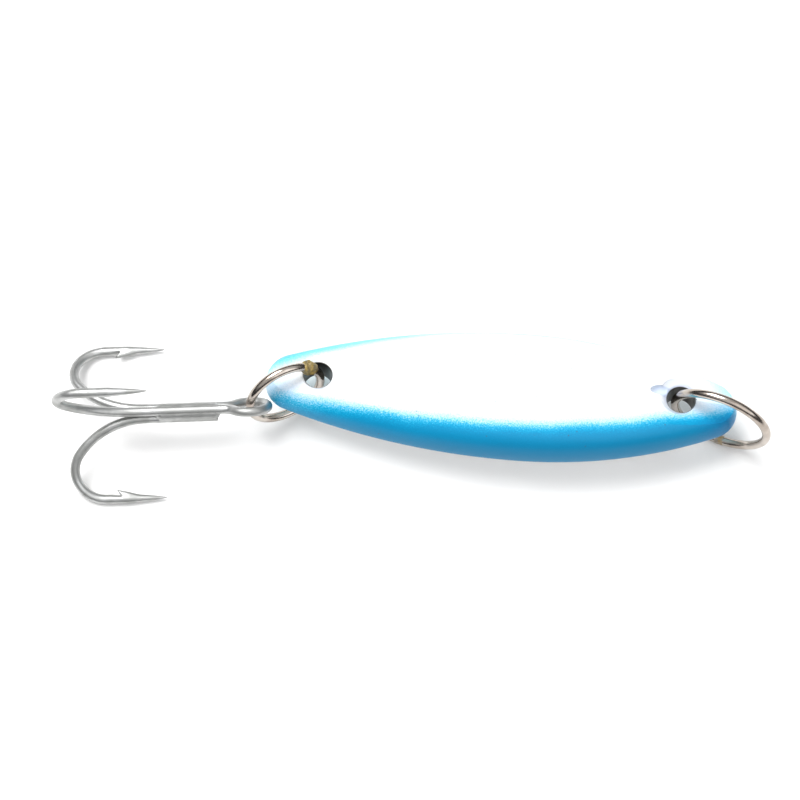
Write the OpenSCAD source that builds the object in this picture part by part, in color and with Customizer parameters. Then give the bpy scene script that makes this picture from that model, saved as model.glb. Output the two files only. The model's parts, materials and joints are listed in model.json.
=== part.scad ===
// Casting spoon: a solid metal blank with a brazed wire ring through a hole at each end,
// a treble hook on the smaller ring. Millimetres, +Z up, the long axis along X with the
// line tie at +X, the origin under the middle of the whole lure as it lies.

/* [Body] */
// Length of the body from tip to tip
body_l = 57.9; // [45:0.1:75]
// Width of the body at its widest
body_w = 16.7; // [14:0.1:22]
// Distance of the widest place from the hook-end tip
belly_x = 31.8; // [26:0.1:36]
// Thickness at the widest place
body_t = 5.2; // [4.4:0.1:7]
// Thickness at the tips, before the flats are ground
end_t = 4.3; // [3.6:0.1:4.8]
// Radius of the tips seen from above
tip_r = 3.6; // [3:0.1:4.5]
// How far the crown of the upper face runs in from the edge
crown_run = 3; // [2:0.1:3.4]
// Height of the widest line of the edge above the flat underside
edge_h = 1.2; // [1:0.1:1.8]
// How far the lower edge is rounded in
edge_r = 1.2; // [0.8:0.1:2]

/* [Holes and flats] */
// Diameter of the hole at each end
bore_d = 3.45; // [2.8:0.05:4.2]
// Distance of the hook hole from the hook-end tip
hook_hole = 6.5; // [5:0.1:8]
// Distance of the line-tie hole from the line-tie tip
tie_hole = 7.1; // [5.5:0.1:8.5]
// How far the countersinks widen the holes all round
csk = 0.5; // [0.2:0.05:0.8]
// Length of the ground flat at the hook end
hook_flat_l = 9.6; // [8:0.1:12]
// Thickness that the hook-end flat leaves at the tip
hook_flat_t = 3.3; // [2.2:0.1:3.5]
// Length of the ground flat at the line-tie end
tie_flat_l = 10.4; // [8:0.1:13]
// Thickness that the line-tie flat leaves at the tip
tie_flat_t = 2.9; // [2:0.1:3.5]

/* [Rings] */
// Diameter of the ring wire
ring_wire = 1.1; // [0.8:0.05:1.4]
// Outside diameter of the line-tie ring
tie_ring_d = 12.9; // [11.5:0.1:17]
// Outside diameter of the hook ring
hook_ring_d = 10.5; // [9:0.1:14]
// Least gap between a ring's wire and the wall of its hole
ring_play = 0.45; // [0.1:0.05:0.5]
// Width of the brazed joint in each ring
joint_w = 0.5; // [0.3:0.05:0.8]
// How far the braze stands proud of the ring wire
joint_proud = 0.06; // [0.02:0.01:0.12]

/* [Treble hook] */
// Length of the hook from the outside of the eye to the outside of the bends
hook_l = 26; // [21:0.1:32]
// Diameter of the hook wire
hook_wire = 1.17; // [0.9:0.01:1.3]
// Distance between the centre lines of the shank and the point
gape = 10.2; // [8.4:0.1:12.4]
// Radius of the long bend below the shank
shoulder_r = 10.3; // [9:0.1:12]
// Radius of the short bend before the point
bend_r = 3.7; // [3:0.1:4.1]
// Inside diameter of the eye
eye_d = 3.3; // [2.8:0.05:4]
// Straight length of the point
point_l = 7.4; // [6:0.1:9]
// Length of the point's taper
taper_l = 4; // [2:0.1:5]
// Distance of the barb's tip behind the point
barb_back = 5.4; // [4:0.1:6]
// Length of the barb
barb_l = 1.6; // [1:0.1:2]
// Distance of the single hook's cut end from the middle of the eye
single_start = 3.9; // [3.4:0.1:6]
// How much shorter the single hook is than the top one
single_short = 0.8; // [0:0.1:1]
// How much shorter the double hook's other leg is than the top one
leg_short = 0.7; // [0:0.1:1]
// Gap between the three shanks, filled with braze
shank_gap = 0.05; // [0.03:0.01:0.1]
// Length of the brazed part of the shanks
braze_l = 8; // [5:0.1:10]

/* [How it lies] */
// Roll of the body's upper face to the +Y side, in degrees
body_roll = 13; // [0:0.5:15]
// Swing of the line-tie ring to the -Y side, in degrees
tie_swing = 20; // [0:1:60]
// Lean of the line-tie ring's top to the +Y side, in degrees
tie_lean = 8.5; // [0:0.5:15]
// Gap that the hook ring swings to the -Y side to leave between the treble's eye and the tip
eye_gap = 0.15; // [0.05:0.05:0.5]
// Swing of the hook ring past that place, in degrees
hook_swing = 2.25; // [0:0.01:20]
// Lean of the hook ring's top to the +Y side, in degrees
hook_lean = 17.5; // [0:0.5:20]
// Turn of the treble hook's shank to the -Y side, in degrees
treble_turn = 6; // [-10:1:20]

/* [Hidden] */

// Smoothness: true curves, and the children of the body's hull
fine = 64;
coarse = 32;
// A cutter runs this far past the face that it cuts
past = 1;

// Stations along the body are counted from its widest place.
hook_tip_x = -belly_x;
tie_tip_x = body_l - belly_x;
hook_hole_x = hook_tip_x + hook_hole;
tie_hole_x = tie_tip_x - tie_hole;
half_w = body_w / 2;
pucks_per_end = 6;
// The crown never runs in past this share of a disc's radius.
crown_share = 0.88;

// Side arc of an end whose tip lies at distance a from the widest place
function side_r(a) = (pow(a - tip_r, 2) + half_w * half_w - tip_r * tip_r) / (body_w - 2 * tip_r);
// Radius of the disc that fills the outline at x, in an end of length a
function fill_r(x, a) = side_r(a) - sqrt(x * x + pow(side_r(a) - half_w, 2));
// Thickness at x: an arc from the widest place down to a tip at distance a
function arc_r(a) = (a * a + pow(body_t - end_t, 2)) / (2 * (body_t - end_t));
function thick(x, a) = body_t - arc_r(a) + sqrt(arc_r(a) * arc_r(a) - x * x);

// The flats slope down to the tips from the points where they leave the upper face.
function flat_slope(l, a, t) = atan((thick(a - l, a) - t) / l);
function flat_z(d, l, a, t) = t + d * tan(flat_slope(l, a, t));
hook_slope = flat_slope(hook_flat_l, belly_x, hook_flat_t);
tie_slope = flat_slope(tie_flat_l, tie_tip_x, tie_flat_t);
hook_hole_top = flat_z(hook_hole, hook_flat_l, belly_x, hook_flat_t);
tie_hole_top = flat_z(tie_hole, tie_flat_l, tie_tip_x, tie_flat_t);

// Rings: centre-line radii, and how far and which way a ring's wire lies off its hole's axis
tie_r = (tie_ring_d - ring_wire) / 2;
hook_r = (hook_ring_d - ring_wire) / 2;
wire_off = (bore_d - ring_wire) / 2 - ring_play;
tie_seat = 135;
hook_seat = 80;
// The rings' centres lie this far above the middle of the holes: the body rests on the wire.
tie_sag = 0.45;
hook_sag = 0.15;
// A point of the body after its roll
function rolled(p) = [p[0], p[1] * cos(body_roll) + p[2] * sin(body_roll),
                      p[2] * cos(body_roll) - p[1] * sin(body_roll)];
function wire_at(x, top, sag, seat) =
    rolled([x + wire_off * cos(seat), wire_off * sin(seat), top / 2 + sag]);
tie_pin = wire_at(tie_hole_x, tie_hole_top, tie_sag, tie_seat);
hook_pin = wire_at(hook_hole_x, hook_hole_top, hook_sag, hook_seat);
tie_ring_c = tie_pin + tie_r * [cos(tie_swing), -sin(tie_swing), 0];
// Places of the brazed joints round the rings, from the outer end towards the top
tie_joint_at = -80;
hook_joint_at = 45;

// Shares of the hook wire: the swellings' diameter, the braze's cover over the shanks' axes,
// the point's end radius, and the barb's root and tip radii and its depth in the point
knuckle_share = 1.04;
braze_share = 0.36;
tip_share = 1 / 12;
barb_root_share = 0.3;
barb_tip_share = 0.04;
barb_sink_share = 0.15;
// Turn of the barb away from the point's direction
barb_turn = 160;

// Treble hook: three shanks round one axis, each touched by the braze between them
eye_r = (eye_d + hook_wire) / 2;
shank_off = (hook_wire + shank_gap) / sqrt(3);
turn_a = acos((shoulder_r + bend_r - gape) / (shoulder_r - bend_r));
shank_end = hook_l - eye_r - hook_wire - bend_r - (shoulder_r - bend_r) * sin(turn_a);
eye_open_a = asin(shank_off * sin(60) / eye_r);
braze_r = shank_off + hook_wire * braze_share;
// The eye's middle lies this far inboard of the ring wire that passes through it.
eye_slip = -0.15;

// Seen from above the eye and the tip are two circles, which the ring's swing keeps apart.
eye_reach = tip_r + eye_r + hook_wire / 2 + eye_gap;
tip_c = rolled([hook_tip_x + tip_r, 0, hook_hole_top / 2]);
pin_to_tip = [hook_pin[0] - tip_c[0] + eye_slip, hook_pin[1] - tip_c[1]];
pin_span = norm(pin_to_tip);
// On a ring so wide that the eye can't reach the tip, the eye lies in line with it.
touch_cos = min(1, (pin_span * pin_span + 4 * hook_r * hook_r - eye_reach * eye_reach)
                   / (4 * pin_span * hook_r));
touch_swing = atan2(pin_to_tip[1], pin_to_tip[0]) + acos(touch_cos);
ring_swing = touch_swing + hook_swing;
hook_ring_c = hook_pin - hook_r * [cos(ring_swing), sin(ring_swing), 0];
eye_pin = hook_ring_c - hook_r * [cos(ring_swing), sin(ring_swing), 0];
treble_c = eye_pin + [eye_slip, 0, 0];

// Extents of the lure as it lies, from which the origin is placed
function ring_span(r, swing, lean, axis) =
    r * sqrt(1 - pow(axis == "x" ? cos(lean) * sin(swing)
                   : axis == "y" ? cos(lean) * cos(swing) : sin(lean), 2)) + ring_wire / 2;
tip_out = shank_off + gape;
bend_mid = shank_end + (shoulder_r - bend_r) * sin(turn_a);
side_reach = tip_out * sin(60);
lure_x = [treble_c[0] - (bend_mid + bend_r) * cos(treble_turn) - hook_wire / 2,
          tie_ring_c[0] + ring_span(tie_r, tie_swing, tie_lean, "x")];
lure_y = [treble_c[1] - (bend_mid - single_short) * sin(treble_turn)
              - side_reach * cos(treble_turn) - hook_wire / 2,
          (half_w - crown_run) * cos(body_roll) + edge_h * sin(body_roll)
              + norm([crown_run * cos(body_roll), (body_t - edge_h) * sin(body_roll)])];
lure_z = min(tie_ring_c[2] - ring_span(tie_r, tie_swing, tie_lean, "z"),
             treble_c[2] - tip_out * cos(60) - hook_wire / 2);
origin = [-(lure_x[0] + lure_x[1]) / 2, -(lure_y[0] + lure_y[1]) / 2, -lure_z];

// One disc of the body: flat below, a rounded lower edge, a crown up to a flat top
module puck(r, t) {
    run = min(crown_run, crown_share * r);
    rotate_extrude($fn = coarse)
        polygon(concat([[0, 0]],
            [for (a = [0:22.5:90]) [r - edge_r + edge_r * sin(a), edge_h * (1 - cos(a))]],
            [for (a = [15:15:90]) [r - run + run * cos(a), edge_h + (t - edge_h) * sin(a)]],
            [[0, t]]));
}

// Half of the body's discs: from the widest place to the tip at distance a, side = -1 or 1
module pucks(a, side)
    for (i = [0:pucks_per_end]) {
        x = (a - tip_r) * sin(90 * i / pucks_per_end);
        translate([side * x, 0, 0]) puck(fill_r(x, a), thick(x, a));
    }

// The flat at one end, as the block that is ground away: tip at x = 0, the body at -x
module flat_cut(l, slope, t)
    translate([0, 0, t])
        rotate([0, slope, 0])
            translate([-l - body_w, -body_w, 0]) cube([l + 2 * body_w, 2 * body_w, body_w]);

// Through hole with a countersink at both faces
module hole(top) {
    translate([0, 0, -past]) cylinder(d = bore_d, h = top + 2 * past, $fn = fine);
    translate([0, 0, -past]) cylinder(r1 = bore_d / 2 + csk + past, r2 = bore_d / 2,
                                      h = csk + past, $fn = fine);
    translate([0, 0, top - csk]) cylinder(r1 = bore_d / 2, r2 = bore_d / 2 + csk + past,
                                          h = csk + past, $fn = fine);
}

module spoon_body()
    color("white") translate(origin) rotate([-body_roll, 0, 0]) difference() {
        hull() {
            pucks(belly_x, -1);
            pucks(tie_tip_x, 1);
        }
        translate([tie_tip_x, 0, 0]) flat_cut(tie_flat_l, tie_slope, tie_flat_t);
        translate([hook_tip_x, 0, 0]) mirror([1, 0, 0])
            flat_cut(hook_flat_l, hook_slope, hook_flat_t);
        translate([hook_hole_x, 0, 0]) hole(hook_hole_top);
        translate([tie_hole_x, 0, 0]) hole(tie_hole_top);
    }

// A standing ring: swung about Z and leaning to +Y, its first point the outer end
module stand(centre, swing, lean) translate(centre) rotate([0, 0, swing]) rotate([90 - lean, 0, 0]) children();

// Part of a ring of centre-line radius r, from angle a over sweep degrees
module wire_arc(r, wire, a, sweep)
    rotate([0, 0, a]) rotate_extrude(angle = sweep, $fn = fine) translate([r, 0]) circle(d = wire, $fn = fine);

function joint_a(r) = joint_w / r * 180 / PI;

module open_ring(r, at) wire_arc(r, ring_wire, at + joint_a(r) / 2, 360 - joint_a(r));

module ring_joint(r, at) wire_arc(r, ring_wire + 2 * joint_proud, at - joint_a(r) / 2, joint_a(r));

module at_tie() translate(origin) stand(tie_ring_c, -tie_swing, tie_lean) children();

module at_hook_ring() translate(origin) stand(hook_ring_c, ring_swing, hook_lean) children();

module tie_ring() color("silver") at_tie() open_ring(tie_r, tie_joint_at);

module tie_ring_braze() color("darkkhaki") at_tie() ring_joint(tie_r, tie_joint_at);

module hook_ring() color("silver") at_hook_ring() open_ring(hook_r, hook_joint_at);

module hook_ring_braze() color("darkkhaki") at_hook_ring() ring_joint(hook_r, hook_joint_at);

// Bend of a hook in the XZ plane: the shank runs to -X, the arc climbs from angle a
module bend(centre_x, centre_z, r, a, sweep)
    translate([-centre_x, 0, centre_z])
        rotate([-90, 0, 0]) wire_arc(r, hook_wire, 90 + a, sweep);

// Slight swelling where two stretches of the wire meet, with its poles along the wire,
// which has turned by angle a from the shank's direction
module knuckle(x, z, a) translate([-x, 0, z]) rotate([0, a - 90, 0])
    sphere(d = hook_wire * knuckle_share, $fn = fine);

// One hook: shank from start to its end, two bends, and a tapered point with its barb
module hook(start, shank) {
    mid_x = shank + (shoulder_r - bend_r) * sin(turn_a);
    mid_z = shank_off + shoulder_r - (shoulder_r - bend_r) * cos(turn_a);
    straight = point_l - taper_l;
    knuckle(shank, shank_off, 0);
    knuckle(mid_x + bend_r * sin(turn_a), mid_z - bend_r * cos(turn_a), turn_a);
    knuckle(mid_x, mid_z + bend_r, 180);
    translate([-start, 0, shank_off]) rotate([0, -90, 0])
        cylinder(d = hook_wire, h = shank - start, $fn = fine);
    bend(shank, shank_off + shoulder_r, shoulder_r, 0, turn_a);
    bend(mid_x, mid_z, bend_r, turn_a, 180 - turn_a);
    translate([-mid_x, 0, mid_z + bend_r]) rotate([0, 90, 0]) {
        cylinder(d = hook_wire, h = straight, $fn = fine);
        translate([0, 0, straight])
            cylinder(r1 = hook_wire / 2, r2 = hook_wire * tip_share, h = taper_l, $fn = fine);
        // The barb points back and in towards the shank.
        translate([hook_wire * barb_sink_share, 0, point_l - barb_back + barb_l])
            rotate([0, barb_turn, 0])
                cylinder(r1 = hook_wire * barb_root_share, r2 = hook_wire * barb_tip_share,
                         h = barb_l, $fn = fine);
    }
}

module at_treble() translate(origin) translate(treble_c) rotate([0, 0, treble_turn]) children();

// A hook's plane is turned about the shank axis, from straight up towards +Y.
module double_wire() {
    hook(eye_r * cos(eye_open_a), shank_end);
    rotate([-120, 0, 0]) hook(eye_r * cos(eye_open_a), shank_end - leg_short);
    rotate([-60, 0, 0]) translate([0, 0, shank_off * cos(60)])
        wire_arc(eye_r, hook_wire, eye_open_a - 180, 360 - 2 * eye_open_a);
}

module single_wire() rotate([-240, 0, 0]) hook(single_start, shank_end - single_short);

module double_hook() color("gainsboro") at_treble() double_wire();

module single_hook() color("gainsboro") at_treble() single_wire();

// Braze that fills the valleys between the three shanks
module hook_braze()
    color("lightgray") at_treble() difference() {
        translate([-single_start, 0, 0]) rotate([0, -90, 0])
            cylinder(r = braze_r, h = braze_l, $fn = fine);
        double_wire();
        single_wire();
    }

spoon_body();
tie_ring();
tie_ring_braze();
hook_ring();
hook_ring_braze();
double_hook();
single_hook();
hook_braze();
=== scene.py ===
"""Casting spoon lure: a painted metal blank, two brazed wire rings and a treble hook."""
import json
import logging
from dataclasses import dataclass, field
from enum import Enum
from math import acos, atan2, cos, hypot, pi, radians, sin, sqrt, tan
from typing import Callable, Iterable

import bmesh
import bpy
from mathutils import Matrix, Vector, noise


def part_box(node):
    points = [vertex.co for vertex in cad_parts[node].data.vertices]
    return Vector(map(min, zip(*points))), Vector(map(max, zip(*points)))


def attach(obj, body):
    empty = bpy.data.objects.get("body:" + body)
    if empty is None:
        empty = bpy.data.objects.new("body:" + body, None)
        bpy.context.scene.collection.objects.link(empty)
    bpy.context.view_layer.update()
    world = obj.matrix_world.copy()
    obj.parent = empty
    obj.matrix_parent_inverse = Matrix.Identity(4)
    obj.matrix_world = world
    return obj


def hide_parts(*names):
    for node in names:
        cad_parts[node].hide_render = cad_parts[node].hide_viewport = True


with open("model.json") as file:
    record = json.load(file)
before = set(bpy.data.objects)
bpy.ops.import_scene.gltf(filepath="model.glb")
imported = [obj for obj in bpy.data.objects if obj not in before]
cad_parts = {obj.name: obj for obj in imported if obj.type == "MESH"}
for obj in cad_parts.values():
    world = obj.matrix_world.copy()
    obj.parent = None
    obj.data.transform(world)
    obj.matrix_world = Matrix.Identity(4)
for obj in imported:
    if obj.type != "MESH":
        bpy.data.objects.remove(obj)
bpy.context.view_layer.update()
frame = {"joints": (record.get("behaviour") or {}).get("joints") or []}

LOG = logging.getLogger("spoon_lure")
MM = 0.001
UP = Vector((0.0, 0.0, 1.0))
COLOUR_A, COLOUR_B = 6, 7  # the colour inputs of a Mix node
Colour = tuple[float, float, float]
Stops = tuple[tuple[float, Colour], ...]


class Along(Enum):
    """The end of the lure that a piece or a face belongs to."""

    HOOK = -1
    TIE = 1


def link_mesh(bm: bmesh.types.BMesh, name: str) -> bpy.types.Object:
    """Turns a bmesh into an object in the scene, and frees it."""
    mesh = bpy.data.meshes.new(name)
    bm.to_mesh(mesh)
    bm.free()
    made = bpy.data.objects.new(name, mesh)
    bpy.context.scene.collection.objects.link(made)
    return made


def save_piece(bm: bmesh.types.BMesh, name: str, place: Matrix, body: str,
               replaces: tuple[str, ...]) -> bpy.types.Object:
    """Turns a bmesh in millimetres into a finished piece in the row frame.

    Args:
        bm: The mesh, in the piece's own frame. It is freed.
        name: Name of the piece.
        place: Where the piece's own frame lies, in millimetres.
        body: The body that the piece moves with.
        replaces: The frame's nodes that it stands for.

    Returns:
        The object, at the origin, with its place in its mesh.
    """
    bmesh.ops.transform(bm, matrix=Matrix.Scale(MM, 4) @ place, verts=bm.verts)
    bmesh.ops.recalc_face_normals(bm, faces=bm.faces)
    for face in bm.faces:
        face.smooth = True
    piece = link_mesh(bm, name)
    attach(piece, body)
    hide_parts(*replaces)
    LOG.info("%s: %d faces on %s", name, len(piece.data.polygons), body)
    return piece


def bake_modifiers(piece: bpy.types.Object) -> None:
    """Replaces a piece's mesh with the result of its modifiers, and removes them."""
    bpy.context.view_layer.update()
    graph = bpy.context.evaluated_depsgraph_get()
    baked = bpy.data.meshes.new_from_object(piece.evaluated_get(graph))
    piece.modifiers.clear()
    piece.data = baked


# ---------------------------------------------------------------- node helpers

class NodeSheet:
    """A node tree that is being laid out, with short calls for its nodes and links."""

    def __init__(self, tree: bpy.types.NodeTree) -> None:
        """Takes over an empty tree."""
        self.tree = tree

    def add(self, kind: str, **settings: object) -> bpy.types.Node:
        """Adds a node.

        Args:
            kind: The node's type, without its ShaderNode prefix.
            **settings: Properties to set on it.

        Returns:
            The node.
        """
        node = self.tree.nodes.new("ShaderNode" + kind)
        for name, value in settings.items():
            setattr(node, name, value)
        return node

    def plug(self, socket: bpy.types.NodeSocket, value: object) -> None:
        """Links an input to the socket that drives it, or sets its value."""
        if isinstance(value, bpy.types.NodeSocket):
            self.tree.links.new(value, socket)
        else:
            socket.default_value = value

    def feed(self, node: bpy.types.Node, **inputs: object) -> bpy.types.Node:
        """Sets or links a node's inputs by name, with _ for a space.

        Args:
            node: The node.
            **inputs: Each input's value, or the socket that drives it.

        Returns:
            The same node.
        """
        for name, value in inputs.items():
            self.plug(node.inputs[name.replace("_", " ")], value)
        return node

    def math(self, operation: str, first: object, second: object = 0.0,
             clamp: bool = False) -> bpy.types.NodeSocket:
        """Adds a Math node and returns its result."""
        node = self.add("Math", operation=operation, use_clamp=clamp)
        self.plug(node.inputs[0], first)
        self.plug(node.inputs[1], second)
        return node.outputs[0]

    def noise(self, vector: bpy.types.NodeSocket, scale: float, detail: float = 2.0,
              roughness: float = 0.5) -> bpy.types.NodeSocket:
        """Adds a Noise Texture and returns its value."""
        node = self.add("TexNoise")
        self.feed(node, Vector=vector, Scale=scale, Detail=detail, Roughness=roughness)
        return node.outputs["Fac"]

    def remap(self, value: object, low: float, high: float, to_low: float = 0.0,
              to_high: float = 1.0, smooth: bool = False) -> bpy.types.NodeSocket:
        """Adds a clamped Map Range node and returns its result."""
        node = self.add("MapRange", clamp=True,
                        interpolation_type="SMOOTHSTEP" if smooth else "LINEAR")
        self.feed(node, Value=value, From_Min=low, From_Max=high, To_Min=to_low, To_Max=to_high)
        return node.outputs["Result"]

    def ramp(self, value: bpy.types.NodeSocket, stops: Stops) -> bpy.types.NodeSocket:
        """Adds a Color Ramp with these stops and returns its colour."""
        node = self.add("ValToRGB")
        row = node.color_ramp.elements
        while len(row) < len(stops):
            row.new(0.5)
        for element, (position, colour) in zip(row, stops):
            element.position = position
            element.color = (*colour, 1.0)
        self.tree.links.new(value, node.inputs["Fac"])
        return node.outputs["Color"]

    def mix(self, factor: object, first: object, second: object) -> bpy.types.NodeSocket:
        """Adds a colour Mix node and returns its result."""
        node = self.add("Mix", data_type="RGBA")
        self.plug(node.inputs["Factor"], factor)
        for place, value in ((COLOUR_A, first), (COLOUR_B, second)):
            self.plug(node.inputs[place], (*value, 1.0) if isinstance(value, tuple) else value)
        return node.outputs[2]


def tone(red: int, green: int, blue: int) -> Colour:
    """Returns an 8-bit display colour as linear light."""
    def linear(value: int) -> float:
        """Returns one channel as linear light."""
        part = value / 255
        return part / 12.92 if part <= 0.04045 else ((part + 0.055) / 1.055) ** 2.4
    return linear(red), linear(green), linear(blue)


def grain_group() -> bpy.types.NodeTree:
    """Builds the shared group of fine surface grain and broad unevenness.

    Returns:
        A group with the inputs Vector, Fine and Broad (scales), and the outputs
        Grain and Patches, both from 0 to 1.
    """
    group = bpy.data.node_groups.new("surface_grain", "ShaderNodeTree")
    face = group.interface
    face.new_socket("Vector", in_out="INPUT", socket_type="NodeSocketVector")
    for name in ("Fine", "Broad"):
        face.new_socket(name, in_out="INPUT", socket_type="NodeSocketFloat")
    for name in ("Grain", "Patches"):
        face.new_socket(name, in_out="OUTPUT", socket_type="NodeSocketFloat")
    sheet = NodeSheet(group)
    start = group.nodes.new("NodeGroupInput")
    end = group.nodes.new("NodeGroupOutput")
    fine = sheet.add("TexNoise")
    sheet.feed(fine, Vector=start.outputs["Vector"], Scale=start.outputs["Fine"], Detail=3.0)
    broad = sheet.add("TexNoise")
    sheet.feed(broad, Vector=start.outputs["Vector"], Scale=start.outputs["Broad"], Detail=2.0)
    group.links.new(fine.outputs["Fac"], end.inputs["Grain"])
    patches = sheet.remap(broad.outputs["Fac"], 0.35, 0.65, smooth=True)
    group.links.new(patches, end.inputs["Patches"])
    return group


class Finish:
    """Base of the finishes: an empty material with one Principled shader."""

    def sheet(self, name: str) -> tuple[bpy.types.Material, NodeSheet, bpy.types.Node]:
        """Starts a material.

        Args:
            name: Name of the material.

        Returns:
            The material, its node sheet and its Principled shader.
        """
        material = bpy.data.materials.new(name)
        material.use_nodes = True
        material.node_tree.nodes.clear()
        sheet = NodeSheet(material.node_tree)
        output = sheet.add("OutputMaterial")
        shader = sheet.add("BsdfPrincipled")
        material.node_tree.links.new(shader.outputs[0], output.inputs["Surface"])
        return material, sheet, shader

    def grain(self, sheet: NodeSheet, group: bpy.types.NodeTree, vector: bpy.types.NodeSocket,
              fine: float, broad: float) -> bpy.types.Node:
        """Places the shared grain group in a material."""
        node = sheet.add("Group", node_tree=group)
        return sheet.feed(node, Vector=vector, Fine=fine, Broad=broad)


@dataclass(frozen=True)
class WireFinish(Finish):
    """Plated wire: a metal with fine pits, dark specks and duller patches.

    Attributes:
        name: Name of the material.
        light: Colour of the clean metal.
        dark: Colour of the duller patches.
        gloss: Roughness of the clean metal.
        dull: Roughness of the patches.
        pits: Depth of the fine relief, in metres.
    """

    name: str
    light: Colour
    dark: Colour
    gloss: float
    dull: float
    pits: float

    def build(self, group: bpy.types.NodeTree) -> bpy.types.Material:
        """Builds the material.

        Args:
            group: The shared grain group.

        Returns:
            The material.
        """
        material, sheet, shader = self.sheet(self.name)
        where = sheet.add("TexCoord").outputs["Object"]
        grain = self.grain(sheet, group, where, 5200.0, 420.0)
        patches = grain.outputs["Patches"]
        speck = sheet.remap(sheet.noise(where, 2600.0, 4.0, 0.65), 0.62, 0.74)
        colour = sheet.mix(patches, self.light, self.dark)
        stain = tuple(0.35 * channel for channel in self.dark)
        stained = sheet.mix(sheet.math("MULTIPLY", speck, 0.35), colour, stain)
        shine = sheet.remap(patches, 0.0, 1.0, self.gloss, self.dull)
        bump = sheet.add("Bump")
        sheet.feed(bump, Height=grain.outputs["Grain"], Distance=self.pits, Strength=0.6)
        sheet.feed(shader, Base_Color=stained, Metallic=1.0, Roughness=shine, Normal=bump.outputs[0])
        return material


@dataclass(frozen=True)
class BrazeFinish(Finish):
    """Lumpy brass that shows through a thin grey plating.

    Attributes:
        name: Name of the material.
        brass: Colour of the bare brass.
        plating: Colour of the plating over it.
        bare: How much of the brass is bare, from 0 to 1.
    """

    name: str
    brass: Colour
    plating: Colour
    bare: float

    def build(self, group: bpy.types.NodeTree) -> bpy.types.Material:
        """Builds the material.

        Args:
            group: The shared grain group.

        Returns:
            The material.
        """
        material, sheet, shader = self.sheet(self.name)
        where = sheet.add("TexCoord").outputs["Object"]
        grain = self.grain(sheet, group, where, 6500.0, 1500.0)
        show = sheet.math("ADD", grain.outputs["Patches"], self.bare - 0.5, clamp=True)
        colour = sheet.mix(show, self.plating, self.brass)
        bump = sheet.add("Bump")
        sheet.feed(bump, Height=grain.outputs["Grain"], Distance=0.00012, Strength=0.9)
        sheet.feed(shader, Base_Color=colour, Metallic=0.85, Normal=bump.outputs[0],
                   Roughness=sheet.remap(grain.outputs["Grain"], 0.3, 0.7, 0.32, 0.6))
        return material


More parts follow.
